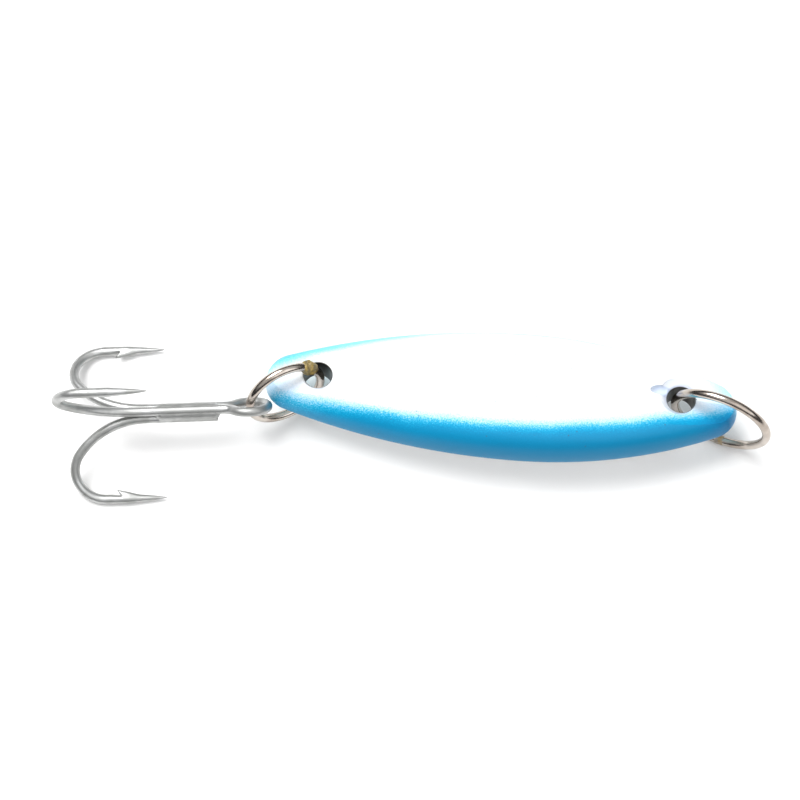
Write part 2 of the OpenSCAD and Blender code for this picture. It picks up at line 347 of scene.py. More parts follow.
@dataclass(frozen=True)
class PaintFinish(Finish):
    """White enamel with an airbrushed blue edge and painted shade, read from the body's own frame.

    Attributes:
        name: Name of the material.
        underside: Middle of the underside at the widest place, in metres.
        roll: Roll of the body, in radians.
        half_width: Half of the body's width, in millimetres.
        side_hook: Radius of the side arc towards the hook, in millimetres.
        side_tie: Radius of the side arc towards the line tie, in millimetres.
        holes: Stations of the two holes, in millimetres.
        bore: Radius of the holes, in millimetres.
        white: Colour of the enamel.
        near_paint_and_shade_stops: Colours over the near edge, from the enamel to the full spray; the
            blue's darkening towards the edge is painted shade.
        far_stops: Colours over the far edge, from the enamel to the thickest mist.
        widest: Station where the sprayed edge is widest, in millimetres.
        spray_width: Width of the sprayed edge there, in millimetres.
        narrowing: How much narrower it is at a distance, over the distance's square.
    """

    name: str
    underside: Vector
    roll: float
    half_width: float
    side_hook: float
    side_tie: float
    holes: tuple[float, float]
    bore: float
    white: Colour = tone(249, 252, 253)
    # The last near stops darken the blue towards the edge: painted shade of the side as it turns down.
    near_paint_and_shade_stops: Stops = (
        (0.0, tone(247, 250, 252)), (0.22, tone(230, 236, 244)), (0.42, tone(206, 222, 238)),
        (0.53, tone(150, 206, 230)), (0.6, tone(62, 180, 216)), (0.66, tone(2, 156, 202)),
        (0.76, tone(0, 138, 186)), (1.0, tone(0, 126, 172)))
    far_stops: Stops = (
        (0.0, tone(249, 252, 253)), (0.3, tone(205, 240, 246)), (0.65, tone(124, 214, 230)),
        (1.0, tone(60, 190, 218)))
    widest: float = 6.0
    spray_width: float = 2.75
    narrowing: float = 0.0019

    def span(self, sheet: NodeSheet, along: bpy.types.NodeSocket,
             over: bpy.types.NodeSocket) -> bpy.types.NodeSocket:
        """Lays out the distance that two coordinates make."""
        square = sheet.math("ADD", sheet.math("MULTIPLY", along, along),
                            sheet.math("MULTIPLY", over, over))
        return sheet.math("SQRT", square)

    def outline(self, sheet: NodeSheet, station: bpy.types.NodeSocket) -> bpy.types.NodeSocket:
        """Lays out the half width of the body at a station, in millimetres."""
        def arc(radius: float) -> bpy.types.NodeSocket:
            """Returns the half width on one side arc."""
            square = sheet.math("MULTIPLY", station, station)
            rise = sheet.math("SQRT", sheet.math("SUBTRACT", radius * radius, square))
            return sheet.math("SUBTRACT", rise, radius - self.half_width)
        to_tie = sheet.math("GREATER_THAN", station, 0.0)
        back = sheet.math("MULTIPLY", arc(self.side_hook), sheet.math("SUBTRACT", 1.0, to_tie))
        return sheet.math("ADD", sheet.math("MULTIPLY", arc(self.side_tie), to_tie), back)

    def bore_mask(self, sheet: NodeSheet, station: bpy.types.NodeSocket,
                  across: bpy.types.NodeSocket, hole: float) -> bpy.types.NodeSocket:
        """Lays out a mask that is 1 within the bore of one hole."""
        along = sheet.math("SUBTRACT", station, hole)
        return sheet.remap(self.span(sheet, along, across), self.bore + 0.03, self.bore + 0.1, 1.0, 0.0)

    def shade_patch_mask(self, sheet: NodeSheet, station: bpy.types.NodeSocket,
                   across: bpy.types.NodeSocket, middle: tuple[float, float],
                   size: tuple[float, float]) -> bpy.types.NodeSocket:
        """Lays out a soft-edged mask over one ellipse of the upper face, where shade is painted."""
        along = sheet.math("DIVIDE", sheet.math("SUBTRACT", station, middle[0]), size[0])
        over = sheet.math("DIVIDE", sheet.math("SUBTRACT", across, middle[1]), size[1])
        return sheet.remap(self.span(sheet, along, over), 0.75, 1.05, 1.0, 0.0, smooth=True)

    def build(self, group: bpy.types.NodeTree) -> bpy.types.Material:
        """Builds the material.

        Args:
            group: The shared grain group.

        Returns:
            The material.
        """
        material, sheet, shader = self.sheet(self.name)
        where = sheet.add("TexCoord").outputs["Object"]
        own = sheet.add("Mapping", vector_type="TEXTURE")
        own.inputs["Location"].default_value = self.underside
        own.inputs["Rotation"].default_value = (-self.roll, 0.0, 0.0)
        own.inputs["Scale"].default_value = (MM, MM, MM)
        sheet.tree.links.new(where, own.inputs["Vector"])
        axes = sheet.add("SeparateXYZ")
        sheet.tree.links.new(own.outputs[0], axes.inputs[0])
        station, across, height = axes.outputs
        half = self.outline(sheet, station)
        near = sheet.math("ADD", half, across)
        far = sheet.math("SUBTRACT", half, across)
        # The sprayed edge is widest a little towards the line tie and narrows to the tips.
        offset = sheet.math("SUBTRACT", station, self.widest)
        loss = sheet.math("MULTIPLY", sheet.math("MULTIPLY", offset, offset), self.narrowing)
        width = sheet.math("SUBTRACT", self.spray_width, loss)
        spray = sheet.math("SUBTRACT", sheet.noise(where, 6500.0, 3.0, 0.75), 0.5)
        drift = sheet.math("SUBTRACT", sheet.noise(where, 160.0, 1.0), 0.5)
        wander = sheet.math("ADD", sheet.math("MULTIPLY", spray, 2.6),
                            sheet.math("MULTIPLY", drift, 0.7))
        depth = sheet.math("ADD", sheet.math("SUBTRACT", width, near), wander)
        near_value = sheet.remap(depth, -3.1, 2.1)
        # Under the edge the spray fades out, and the underside stays white.
        wrap = sheet.remap(height, 0.02, 0.35, smooth=True)
        near_colour = sheet.mix(wrap, self.white, sheet.ramp(near_value, self.near_paint_and_shade_stops))
        # The far edge has only a thin mist of the same blue, thicker near the hook end.
        hook_side = sheet.remap(station, -9.0, -24.0)
        mist_width = sheet.math("ADD", 1.15, sheet.math("MULTIPLY", hook_side, 0.95))
        mist_depth = sheet.math("ADD", sheet.math("SUBTRACT", mist_width, far),
                                sheet.math("MULTIPLY", wander, 0.6))
        mist = sheet.remap(mist_depth, -0.7, 1.2)
        tie_fade = sheet.remap(station, 6.0, 20.0, 1.0, 0.3)
        strength = sheet.math("MULTIPLY", tie_fade, sheet.remap(hook_side, 0.0, 1.0, 0.85, 1.0))
        far_colour = sheet.ramp(sheet.math("MULTIPLY", mist, strength), self.far_stops)
        body_colour = sheet.mix(sheet.math("GREATER_THAN", across, 0.0), near_colour, far_colour)
        # Both tips caught a pale mist.
        tie_mist = sheet.remap(station, 19.5, 26.0, smooth=True)
        hook_mist = sheet.remap(station, -26.5, -31.5, smooth=True)
        both_mists = sheet.math("ADD", sheet.math("MULTIPLY", tie_mist, 0.85),
                                sheet.math("MULTIPLY", hook_mist, 0.5))
        tip_mist = sheet.math("MULTIPLY", both_mists, sheet.math("ADD", 0.75, spray), clamp=True)
        tip_colour = sheet.mix(tip_mist, (1.0, 1.0, 1.0), tone(120, 208, 234))
        blend = sheet.add("Mix", data_type="RGBA", blend_type="MULTIPLY")
        blend.inputs["Factor"].default_value = 1.0
        sheet.tree.links.new(body_colour, blend.inputs[COLOUR_A])
        sheet.tree.links.new(tip_colour, blend.inputs[COLOUR_B])
        # Painted shade: a greyer colour over the crescent and the notch beside the line-tie hole.
        crescent_shade = self.shade_patch_mask(sheet, station, across, (self.holes[1] - 0.3, 0.65), (2.35, 2.2))
        notch_shade = self.shade_patch_mask(sheet, station, across, (self.holes[1] - 2.1, 0.75), (1.9, 0.75))
        shaded_marks = sheet.mix(sheet.math("MULTIPLY", crescent_shade, 0.75), blend.outputs[2], tone(205, 214, 236))
        shaded_marks = sheet.mix(sheet.math("MULTIPLY", notch_shade, 0.8), shaded_marks, tone(186, 200, 222))
        # Stray dark dust in the paint.
        dust = sheet.add("TexVoronoi")
        sheet.feed(dust, Vector=where, Scale=800.0)
        dot = sheet.remap(dust.outputs["Distance"], 0.06, 0.1, 1.0, 0.0)
        rare = sheet.remap(sheet.noise(where, 330.0, 0.0), 0.47, 0.6)
        dusty = sheet.math("MULTIPLY", sheet.math("MULTIPLY", dot, rare), 0.6)
        colour = sheet.mix(dusty, shaded_marks, tone(60, 84, 104))
        # The holes were drilled after painting, so their walls are bare metal, in a dark grey that also
        # paints the shade inside the holes.
        bare = sheet.math("MAXIMUM", self.bore_mask(sheet, station, across, self.holes[0]),
                          self.bore_mask(sheet, station, across, self.holes[1]))
        grain = self.grain(sheet, group, where, 900.0, 90.0)
        colour = sheet.mix(bare, colour, tone(84, 84, 82))
        bump = sheet.add("Bump")
        sheet.feed(bump, Height=grain.outputs["Grain"], Distance=0.00004, Strength=0.35)
        sheet.feed(shader, Base_Color=colour, Metallic=sheet.math("MULTIPLY", bare, 0.9),
                   Coat_Weight=sheet.math("MULTIPLY", sheet.math("SUBTRACT", 1.0, bare), 0.08),
                   Coat_Roughness=0.15, Specular_IOR_Level=0.22, Normal=bump.outputs[0],
                   Roughness=sheet.remap(depth, -1.0, 1.0, 0.32, 0.42))
        return material


# ---------------------------------------------------------------- the painted body

@dataclass
class SpoonBody:
    """The cast blank: an oval with a flat underside, a crowned top and two ground flats.

    Lengths are in millimetres, in the body's own frame: the origin in the middle of the
    underside at the widest place, +X towards the line tie and +Z out of the top.
    """

    length: float = 57.9
    width: float = 16.7
    belly: float = 31.8
    thickness: float = 5.2
    tip_thickness: float = 4.3
    tip_radius: float = 3.6
    crown_run: float = 3.0
    edge_height: float = 1.2
    edge_round: float = 1.2
    roll: float = radians(13.0)
    bore: float = 3.45
    countersink: float = 0.5
    hole_in: dict[Along, float] = field(default_factory=lambda: {Along.HOOK: 6.5, Along.TIE: 7.1})
    flat_length: dict[Along, float] = field(default_factory=lambda: {Along.HOOK: 9.6, Along.TIE: 10.4})
    flat_left: dict[Along, float] = field(default_factory=lambda: {Along.HOOK: 3.3, Along.TIE: 2.9})
    tip_segments: int = 18
    side_segments: int = 52
    edge_segments: int = 8
    crown_segments: int = 18
    top_segments: int = 7

    def reach(self, end: Along) -> float:
        """Returns the distance from the widest place to a tip."""
        return self.belly if end is Along.HOOK else self.length - self.belly

    def side_arc(self, end: Along) -> float:
        """Returns the radius of the side arc that runs to a tip."""
        run = self.reach(end) - self.tip_radius
        half = self.width / 2
        return (run * run + half * half - self.tip_radius ** 2) / (self.width - 2 * self.tip_radius)

    def height(self, x: float) -> float:
        """Returns the thickness at a station, before the flats are ground."""
        reach = self.reach(Along.TIE if x > 0 else Along.HOOK)
        drop = self.thickness - self.tip_thickness
        arc = (reach * reach + drop * drop) / (2 * drop)
        return self.thickness - arc + sqrt(arc * arc - min(abs(x), reach) ** 2)

    def underside(self) -> Vector:
        """Returns where the body's own origin lies in the row frame, in millimetres."""
        low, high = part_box("spoon_body")
        half, turn = self.width / 2, self.roll
        far_reach = ((half - self.crown_run) * cos(turn) + self.edge_height * sin(turn)
                     + hypot(self.crown_run * cos(turn), (self.thickness - self.edge_height) * sin(turn)))
        low_reach = ((half - self.edge_round) * sin(turn) - self.edge_height * cos(turn)
                     + hypot(self.edge_round * sin(turn), self.edge_height * cos(turn)))
        return Vector((low[0] / MM + self.belly, high[1] / MM - far_reach, low[2] / MM + low_reach))

    def place(self) -> Matrix:
        """Returns the body's own frame in the row frame, in millimetres."""
        return Matrix.Translation(self.underside()) @ Matrix.Rotation(-self.roll, 4, "X")

    def quarter(self, end: Along) -> list[tuple[float, float, float, float]]:
        """Lays out the arcs from a tip to the widest place.

        Args:
            end: Which tip.

        Returns:
            For each station the arc's centre X and Y, its radius, and its normal's angle
            from that end's direction.
        """
        reach, big, small = self.reach(end), self.side_arc(end), self.tip_radius
        meet = atan2(big - self.width / 2, reach - small)
        tip = [(reach - small, 0.0, small, meet * i / self.tip_segments)
               for i in range(self.tip_segments)]
        count = self.side_segments
        side = [(0.0, self.width / 2 - big, big, meet + (pi / 2 - meet) * i / count)
                for i in range(count)]
        return tip + side

    def stations(self) -> list[tuple[float, float, float, Vector]]:
        """Lays out the whole outline, anticlockwise from the line-tie tip.

        Returns:
            For each station the arc's centre X and Y, its radius and its outward normal.
        """
        tie = [(x, y, r, Vector((cos(a), sin(a)))) for x, y, r, a in self.quarter(Along.TIE)]
        hook = [(-x, y, r, Vector((-cos(a), sin(a)))) for x, y, r, a in self.quarter(Along.HOOK)]
        big = self.side_arc(Along.TIE)
        belly = [(0.0, self.width / 2 - big, big, Vector((0.0, 1.0)))]
        upper = tie + belly + hook[::-1]
        lower = [(x, -y, r, Vector((n.x, -n.y))) for x, y, r, n in upper[1:-1]]
        return upper + lower[::-1]

    def blank(self) -> bmesh.types.BMesh:
        """Builds the blank by drawing its outline up over the edge and the crown.

        Returns:
            The closed blank in the body's own frame.
        """
        rows = self.stations()
        bm = bmesh.new()
        bmesh.ops.create_circle(bm, cap_ends=False, segments=len(rows), radius=1.0)
        bm.verts.ensure_lookup_table()
        ring = list(bm.verts)
        edges = list(bm.edges)

        def shape(verts: list[bmesh.types.BMVert], inset: float, level: Callable[[float], float],
                  squeeze: float = 1.0) -> None:
            """Moves one ring of points onto the outline, inset by some distance."""
            for vert, (x, y, radius, normal) in zip(verts, rows):
                spot = Vector((x, y)) + normal * (radius - inset)
                vert.co = (spot.x, spot.y * squeeze, level(spot.x))

        def climb(verts: list[bmesh.types.BMVert], row: list[bmesh.types.BMEdge]
                  ) -> tuple[list[bmesh.types.BMVert], list[bmesh.types.BMEdge]]:
            """Extrudes a ring and returns the new points, in order, and edges."""
            grown = bmesh.ops.extrude_edge_only(bm, edges=row)["geom"]
            fresh = {item for item in grown if isinstance(item, bmesh.types.BMVert)}
            above = [next(e.other_vert(vert) for e in vert.link_edges if e.other_vert(vert) in fresh)
                     for vert in verts]
            return above, [item for item in grown if isinstance(item, bmesh.types.BMEdge)
                           and all(v in fresh for v in item.verts)]

        shape(ring, self.edge_round, lambda x: 0.0)
        bmesh.ops.contextual_create(bm, geom=edges)
        for i in range(1, self.edge_segments + 1):
            turn = pi / 2 * i / self.edge_segments
            ring, edges = climb(ring, edges)
            shape(ring, self.edge_round * (1 - sin(turn)),
                  lambda x, a=turn: self.edge_height * (1 - cos(a)))
        for i in range(1, self.crown_segments + 1):
            turn = pi / 2 * i / self.crown_segments
            ring, edges = climb(ring, edges)
            shape(ring, self.crown_run * (1 - cos(turn)),
                  lambda x, a=turn: self.edge_height + (self.height(x) - self.edge_height) * sin(a))
        for i in range(1, self.top_segments + 1):
            ring, edges = climb(ring, edges)
            shape(ring, self.crown_run, self.height, 1.0 - i / self.top_segments)
        bmesh.ops.remove_doubles(bm, verts=bm.verts, dist=0.001)
        bmesh.ops.recalc_face_normals(bm, faces=bm.faces)
        return bm

    def hole_spot(self, end: Along) -> Vector:
        """Returns where a hole's axis meets its flat."""
        along = self.reach(end) - self.hole_in[end]
        return Vector((end.value * along, 0.0, self.flat_height(end, self.hole_in[end])))

    def flat_slope(self, end: Along) -> float:
        """Returns the slope of a flat, in radians."""
        inner = self.height(end.value * (self.reach(end) - self.flat_length[end]))
        return atan2(inner - self.flat_left[end], self.flat_length[end])

    def flat_height(self, end: Along, distance: float) -> float:
        """Returns a flat's height at a distance from its tip."""
        return self.flat_left[end] + distance * tan(self.flat_slope(end))

    def grind(self, bm: bmesh.types.BMesh, end: Along) -> None:
        """Grinds the flat at one end: a plane that slopes down to the tip."""
        slope = self.flat_slope(end)
        tip = Vector((end.value * self.reach(end), 0.0, self.flat_left[end]))
        upward = Vector((end.value * sin(slope), 0.0, cos(slope)))
        cut = bmesh.ops.bisect_plane(bm, geom=bm.verts[:] + bm.edges[:] + bm.faces[:], dist=0.0001,
                                     plane_co=tip, plane_no=upward, clear_outer=True)
        rim = [item for item in cut["geom_cut"] if isinstance(item, bmesh.types.BMEdge)]
        bmesh.ops.contextual_create(bm, geom=rim)

    def drill(self, end: Along) -> bpy.types.Object:
        """Builds the cutter of one hole: a bore with a countersink at both faces.

        Args:
            end: Which hole.

        Returns:
            The cutter, which is removed once it has cut.
        """
        top = self.hole_spot(end)
        radius, sink, past = self.bore / 2, self.countersink, 1.0
        wide = radius + sink + past
        drill = WireBender(Vector((top.x, 0.0, -past)), UP, wide, 96)
        drill.run(past + sink, 1, lambda share: radius)
        drill.run(top.z - 2 * sink, 1)
        drill.run(past + sink, 1, lambda share: wide)
        bm = drill.close()
        return self.cutter(bm, f"hole_cutter_{end.name.lower()}")

    def scoop(self, name: str, shift: Vector, size: Vector, turn: float) -> bpy.types.Object:
        """Builds the cutter of one shallow mark that a tool left beside the line-tie hole.

        Args:
            name: Name of the cutter.
            shift: Its middle, from the hole's mouth.
            size: Its half lengths.
            turn: Its turn about the hole's axis.

        Returns:
            The cutter, which is removed once it has cut.
        """
        bm = bmesh.new()
        bmesh.ops.create_icosphere(bm, subdivisions=5, radius=1.0)
        bmesh.ops.scale(bm, vec=size, verts=bm.verts)
        bmesh.ops.rotate(bm, matrix=Matrix.Rotation(turn, 3, "Z"), verts=bm.verts)
        bmesh.ops.translate(bm, vec=self.hole_spot(Along.TIE) + shift, verts=bm.verts)
        return self.cutter(bm, name)

    def cutter(self, bm: bmesh.types.BMesh, name: str) -> bpy.types.Object:
        """Turns a cutter's bmesh into an object in the row frame."""
        bmesh.ops.transform(bm, matrix=Matrix.Scale(MM, 4) @ self.place(), verts=bm.verts)
        bmesh.ops.recalc_face_normals(bm, faces=bm.faces)
        return link_mesh(bm, name)

    def build(self, paint: bpy.types.Material) -> bpy.types.Object:
        """Builds the painted body.

        Args:
            paint: Its finish.

        Returns:
            The piece that stands for the node spoon_body.
        """
        bm = self.blank()
        for end in Along:
            self.grind(bm, end)
        piece = save_piece(bm, "painted_body", self.place(), "spoon", ("spoon_body",))
        tools = [self.drill(Along.HOOK), self.drill(Along.TIE),
                 self.scoop("notch_cutter", Vector((-2.05, 0.75, 0.62)),
                            Vector((1.85, 0.72, 0.95)), radians(6.0)),
                 self.scoop("crescent_cutter", Vector((-0.25, 0.62, 0.55)),
                            Vector((2.3, 2.2, 1.0)), 0.0)]
        for tool in tools:
            cut = piece.modifiers.new(tool.name, "BOOLEAN")
            cut.object = tool
            cut.operation = "DIFFERENCE"
            cut.solver = "EXACT"
        bake_modifiers(piece)
        for tool in tools:
            bpy.data.objects.remove(tool)
        soften = piece.modifiers.new("paint_on_edges", "BEVEL")
        soften.width = 0.16 * MM
        soften.segments = 3
        soften.limit_method = "ANGLE"
        soften.angle_limit = radians(24.0)
        bake_modifiers(piece)
        for polygon in piece.data.polygons:
            polygon.use_smooth = True
        level = piece.modifiers.new("even_normals", "WEIGHTED_NORMAL")
        level.keep_sharp = False
        level.weight = 80
        piece.data.materials.clear()
        piece.data.materials.append(paint)
        return piece


# ---------------------------------------------------------------- wires

class WireBender:
    """Draws a wire through the air: straight runs, bends and tapers from one section."""

    def __init__(self, start: Vector, heading: Vector, radius: float, segments: int = 28) -> None:
        """Starts a wire with a capped round section.

        Args:
            start: Middle of the first section.
            heading: Direction in which the wire leaves it.
            radius: Radius of the section.
            segments: Number of sides of the section.
        """
        self.bm = bmesh.new()
        made = bmesh.ops.create_circle(self.bm, cap_ends=True, segments=segments, radius=radius)
        turn = UP.rotation_difference(heading.normalized()).to_matrix().to_4x4()
        bmesh.ops.transform(self.bm, matrix=Matrix.Translation(start) @ turn, verts=made["verts"])
        self.spot = start.copy()
        self.heading = heading.normalized()
        self.radius = radius
        self.ring = list(self.bm.edges)

    def run(self, length: float, steps: int = 1,
            radius: Callable[[float], float] | None = None) -> "WireBender":
        """Runs straight on.

        Args:
            length: Length of the run.
            steps: Number of sections.
            radius: Radius at each share of the run, from 0 to 1, where it changes.

        Returns:
            The bender.
        """
        for i in range(1, steps + 1):
            grown = bmesh.ops.extrude_edge_only(self.bm, edges=self.ring)["geom"]
            verts = [item for item in grown if isinstance(item, bmesh.types.BMVert)]
            self.ring = [item for item in grown if isinstance(item, bmesh.types.BMEdge)]
            step = self.heading * (length / steps)
            bmesh.ops.translate(self.bm, vec=step, verts=verts)
            self.spot += step
            if radius:
                wanted = radius(i / steps)
                for vert in verts:
                    vert.co = self.spot + (vert.co - self.spot) * (wanted / self.radius)
                self.radius = wanted
        return self

    def bend(self, radius: float, angle: float, axis: Vector, steps: int) -> "WireBender":
        """Bends the wire.

        Args:
            radius: Radius of the bend at the middle of the wire.
            angle: Angle of the bend, in radians.
            axis: Axis of the bend, across the heading. The wire turns round it by the right hand.
            steps: Number of sections.

        Returns:
            The bender.
        """
        axis = axis.normalized()
        centre = self.spot + axis.cross(self.heading) * radius
        spun = bmesh.ops.spin(self.bm, geom=self.ring, cent=centre, axis=axis, angle=angle, steps=steps,
                              use_merge=False, use_normal_flip=False, use_duplicate=False)
        self.ring = [item for item in spun["geom_last"] if isinstance(item, bmesh.types.BMEdge)]
        turn = Matrix.Rotation(angle, 3, axis)
        self.spot = centre + turn @ (self.spot - centre)
        self.heading = turn @ self.heading
        return self

    def close(self) -> bmesh.types.BMesh:
        """Caps the wire's end and returns the mesh."""
        bmesh.ops.contextual_create(self.bm, geom=self.ring)
        bmesh.ops.remove_doubles(self.bm, verts=self.bm.verts, dist=0.0001)
        bmesh.ops.recalc_face_normals(self.bm, faces=self.bm.faces)
        return self.bm


@dataclass
class WireRing:
    """A wire ring through a hole, its ends joined by a bead of braze.

    Attributes:
        name: First word of the names of its pieces.
        body: The body that it is.
        joint: Name of the joint whose axis runs through its wire in the hole.
        nodes: The frame's nodes for the wire and the braze.
        radius: Radius of the middle of the wire, in millimetres.
        swing: Direction from the hole to the ring's middle, as an angle from +X.
        lean: Lean of the ring's top to the +Y side.
        pin_at: Where the joint's axis crosses the wire, as an angle from the ring's first point.
        gap_at: Where the brazed joint is, as an angle from the ring's first point.
        bead: Length of the bead of braze along the wire, in millimetres.
        bulge: How far the bead stands proud of the wire, in millimetres.
        wire: Diameter of the wire, in millimetres.
        steps: Number of sections round the ring.
        slit: Gap between the wire's ends under the bead, in millimetres.
    """

    name: str
    body: str
    joint: str
    nodes: tuple[str, str]
    radius: float
    swing: float
    lean: float
    pin_at: float
    gap_at: float
    bead: float
    bulge: float
    wire: float = 1.1
    steps: int = 160
    slit: float = 0.16

    def pin(self) -> Vector:
        """Returns the middle of the wire in the hole, in millimetres."""
        spot = next(joint["pos_m"] for joint in frame["joints"] if joint["name"] == self.joint)
        return Vector(spot) / MM

    def place(self) -> Matrix:
        """Returns the ring's own frame in the row frame: its axis is its own Z."""
        turn = Matrix.Rotation(self.swing, 4, "Z") @ Matrix.Rotation(pi / 2 - self.lean, 4, "X")
        seat = turn @ Vector((self.radius * cos(self.pin_at), self.radius * sin(self.pin_at), 0.0))
        return Matrix.Translation(self.pin() - seat) @ turn

    def bender_at(self, angle: float, radius: float, segments: int = 28) -> WireBender:
        """Starts a wire on the ring at an angle, heading round it."""
        first = Vector((self.radius * cos(angle), self.radius * sin(angle), 0.0))
        return WireBender(first, Vector((-sin(angle), cos(angle), 0.0)), radius, segments)

    def build_wire(self, metal: bpy.types.Material) -> bpy.types.Object:
        """Bends the ring from one length of wire.

        Args:
            metal: Its finish.

        Returns:
            The piece that stands for the ring's node.
        """
        slit = self.slit / self.radius
        bender = self.bender_at(self.gap_at + slit / 2, self.wire / 2)
        bender.bend(self.radius, 2 * pi - slit, UP, self.steps)
        bm = bender.close()
        # Wire that was bent over a mandrel is never quite round.
        for vert in bm.verts:
            around = atan2(vert.co.y, vert.co.x)
            vert.co *= 1.0 + 0.0016 * sin(2 * around + 0.7) + 0.0009 * sin(5 * around)
        piece = save_piece(bm, f"{self.name}_wire", self.place(), self.body, self.nodes[:1])
        piece.data.materials.append(metal)
        return piece

    def build_bead(self, brass: bpy.types.Material) -> bpy.types.Object:
        """Lays the lumpy bead of braze over the joint.

        Args:
            brass: Its finish.

        Returns:
            The piece that stands for the braze's node.
        """
        thick = self.wire / 2
        half = self.bead / 2 / self.radius
        bender = self.bender_at(self.gap_at - half, thick * 0.9, 40)
        bender.bend(self.radius, 2 * half, UP, 36)
        bm = bender.close()
        for vert in bm.verts:
            around = atan2(vert.co.y, vert.co.x)
            core = Vector((cos(around), sin(around), 0.0)) * self.radius
            share = min(1.0, abs(around - self.gap_at) / half)
            lump = noise.noise(vert.co * 2.2) * 0.7 + noise.noise(vert.co * 5.0) * 0.45
            swell = thick * 0.97 + self.bulge * (1 - share ** 2.4) * (1.0 + lump)
            out = vert.co - core
            if out.length > 0.01:
                vert.co = core + out.normalized() * swell
        piece = save_piece(bm, f"{self.name}_bead", self.place(), self.body, self.nodes[1:])
        piece.data.materials.append(brass)
        return piece


